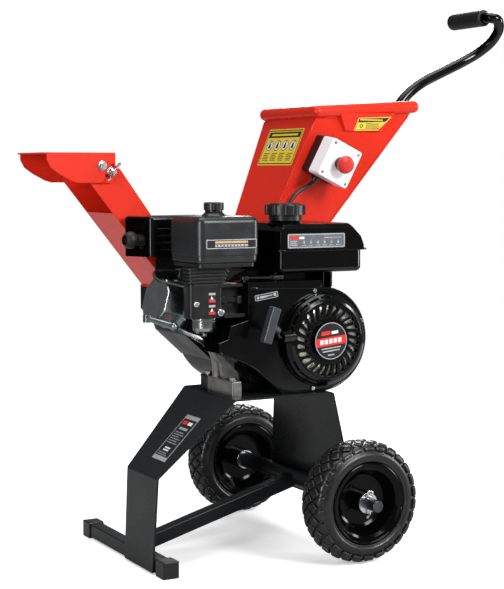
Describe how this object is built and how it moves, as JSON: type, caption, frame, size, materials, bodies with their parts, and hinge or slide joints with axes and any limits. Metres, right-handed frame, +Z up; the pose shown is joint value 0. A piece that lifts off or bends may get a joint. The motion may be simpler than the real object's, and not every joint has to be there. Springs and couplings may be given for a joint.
{
  "type": "wood chipper",
  "caption": "Two-wheeled petrol wood chipper with a sloping feed hopper, discharge chute with tilting hood, recoil-start engine and a tow handle.",
  "frame": {"origin": "on the ground under the middle of the machine's overall box", "axes": "+Z up, +X towards the hopper and tow handle, -Y towards the engine's recoil starter"},
  "size_m": [1.2184, 0.68, 1.218],
  "materials": {
    "red_paint": "gloss",
    "stand_paint": "satin",
    "black_gloss": "gloss",
    "housing_paint": "satin",
    "cast_alu": "rough",
    "valve_cover_grey": "satin",
    "zinc": "satin",
    "steel": "satin",
    "gun_metal": "satin",
    "dark_steel": "satin",
    "rim_black": "gloss",
    "tyre_rubber": "matte",
    "soft_rubber": "matte",
    "black_plastic": "satin",
    "grey_plastic": "satin",
    "white_plastic": "gloss",
    "red_plastic": "gloss",
    "foam": "matte",
    "cable_rubber": "satin"
  },
  "bodies": {
    "frame": {"stand_plate": "stand_paint", "foot_bar": "stand_paint", "foot_caps": "black_plastic", "base_rail": "stand_paint", "axle_tube": "stand_paint", "axle_shaft": "dark_steel", "axle_fasteners": "zinc", "engine_bolts": "zinc", "crankcase": "cast_alu", "crankcase_cover": "cast_alu", "cylinder_head": "cast_alu", "valve_cover": "valve_cover_grey", "spark_plug": "black_plastic", "spark_plug_lead": "cable_rubber", "governor_arm": "gun_metal", "carburettor": "cast_alu", "intake_housing": "black_plastic", "air_cleaner_base": "black_plastic", "air_filter": "foam", "air_cleaner_cover": "grey_plastic", "muffler": "dark_steel", "muffler_guard": "black_gloss", "fuel_tank": "black_gloss", "fan_housing": "black_gloss", "recoil_cover": "black_gloss", "rotor_housing": "housing_paint", "rotor_housing_cover": "housing_paint", "anvil": "steel", "chipper_bolts": "zinc", "hopper": "red_paint", "hopper_rim": "red_paint", "chute": "red_paint", "tow_handle": "black_gloss", "handle_grip": "soft_rubber", "switch_box_base": "black_plastic", "switch_box_cover": "white_plastic", "cover_screws": "zinc", "switch_collar": "black_plastic", "cable_gland": "black_plastic", "switch_cable": "cable_rubber"},
    "wheel_near": {"tyre_near": "tyre_rubber", "rim_near": "rim_black", "wheel_bearings_near": "steel"},
    "wheel_far": {"tyre_far": "tyre_rubber", "rim_far": "rim_black", "wheel_bearings_far": "steel"},
    "rotor": {"crankshaft": "steel", "flywheel_fan": "cast_alu", "rotor_disc": "steel", "rotor_knives": "steel"},
    "hood": {"deflector_hood": "red_paint"},
    "wing_nut_near": {"wing_nut_near": "zinc"},
    "wing_nut_far": {"wing_nut_far": "zinc"},
    "fuel_cap": {"fuel_cap": "black_plastic"},
    "air_knob": {"air_knob": "black_plastic"},
    "stop_button": {"stop_button": "red_plastic"},
    "choke_lever": {"choke_lever": "black_plastic"},
    "throttle_lever": {"throttle_lever": "black_plastic"},
    "starter_grip": {"starter_grip": "black_plastic"},
    "starter_pulley": {"starter_pulley": "black_plastic"}
  },
  "joints": [
    {"name": "wheel_near_spin", "type": "hinge", "parent": "frame", "child": "wheel_near", "pos_m": [-0.043, -0.268, 0.13], "axis": [0, 1, 0], "continuous": true},
    {"name": "wheel_far_spin", "type": "hinge", "parent": "frame", "child": "wheel_far", "pos_m": [-0.043, 0.268, 0.13], "axis": [0, 1, 0], "continuous": true},
    {"name": "rotor_spin", "type": "hinge", "parent": "frame", "child": "rotor", "pos_m": [-0.088, 0, 0.466], "axis": [0, 1, 0], "continuous": true},
    {"name": "hood_tilt", "type": "hinge", "parent": "frame", "child": "hood", "pos_m": [-0.478, 0.155, 0.833], "axis": [0, 1, 0], "range_deg": [-30, 30]},
    {"name": "wing_nut_near_turn", "type": "hinge", "parent": "frame", "child": "wing_nut_near", "pos_m": [-0.457, 0.07, 0.82], "axis": [0, -1, 0], "range_deg": [0, 360]},
    {"name": "wing_nut_far_turn", "type": "hinge", "parent": "frame", "child": "wing_nut_far", "pos_m": [-0.457, 0.24, 0.82], "axis": [0, 1, 0], "range_deg": [0, 360]},
    {"name": "fuel_cap_turn", "type": "hinge", "parent": "frame", "child": "fuel_cap", "pos_m": [-0.14, -0.12, 0.735], "axis": [0, 0, 1], "range_deg": [0, 90]},
    {"name": "air_knob_turn", "type": "hinge", "parent": "frame", "child": "air_knob", "pos_m": [-0.312, -0.122, 0.745], "axis": [0, 0, 1], "range_deg": [0, 360]},
    {"name": "stop_button_press", "type": "slide", "parent": "frame", "child": "stop_button", "axis": [0, 0.9912, 0.1325], "range_m": [0, 0.0055], "stiffness_N_per_m": 900},
    {"name": "choke_turn", "type": "hinge", "parent": "frame", "child": "choke_lever", "pos_m": [-0.305, -0.17, 0.556], "axis": [0, 1, 0], "range_deg": [-25, 25]},
    {"name": "throttle_turn", "type": "hinge", "parent": "frame", "child": "throttle_lever", "pos_m": [-0.255, -0.15, 0.6], "axis": [0, 0, 1], "range_deg": [-40, 12]},
    {"name": "starter_pull", "type": "slide", "parent": "frame", "child": "starter_grip", "axis": [-0.9326, -0.361, 0], "range_m": [0, 0.6], "stiffness_N_per_m": 25},
    {"name": "starter_pulley_spin", "type": "hinge", "parent": "frame", "child": "starter_pulley", "pos_m": [-0.088, -0.202, 0.466], "axis": [0, 1, 0], "range_deg": [0, 824]}
  ],
  "couplings": [
    {"joint": "starter_pulley_spin", "follows": "starter_pull", "rad_per_m": 23.809}
  ]
}
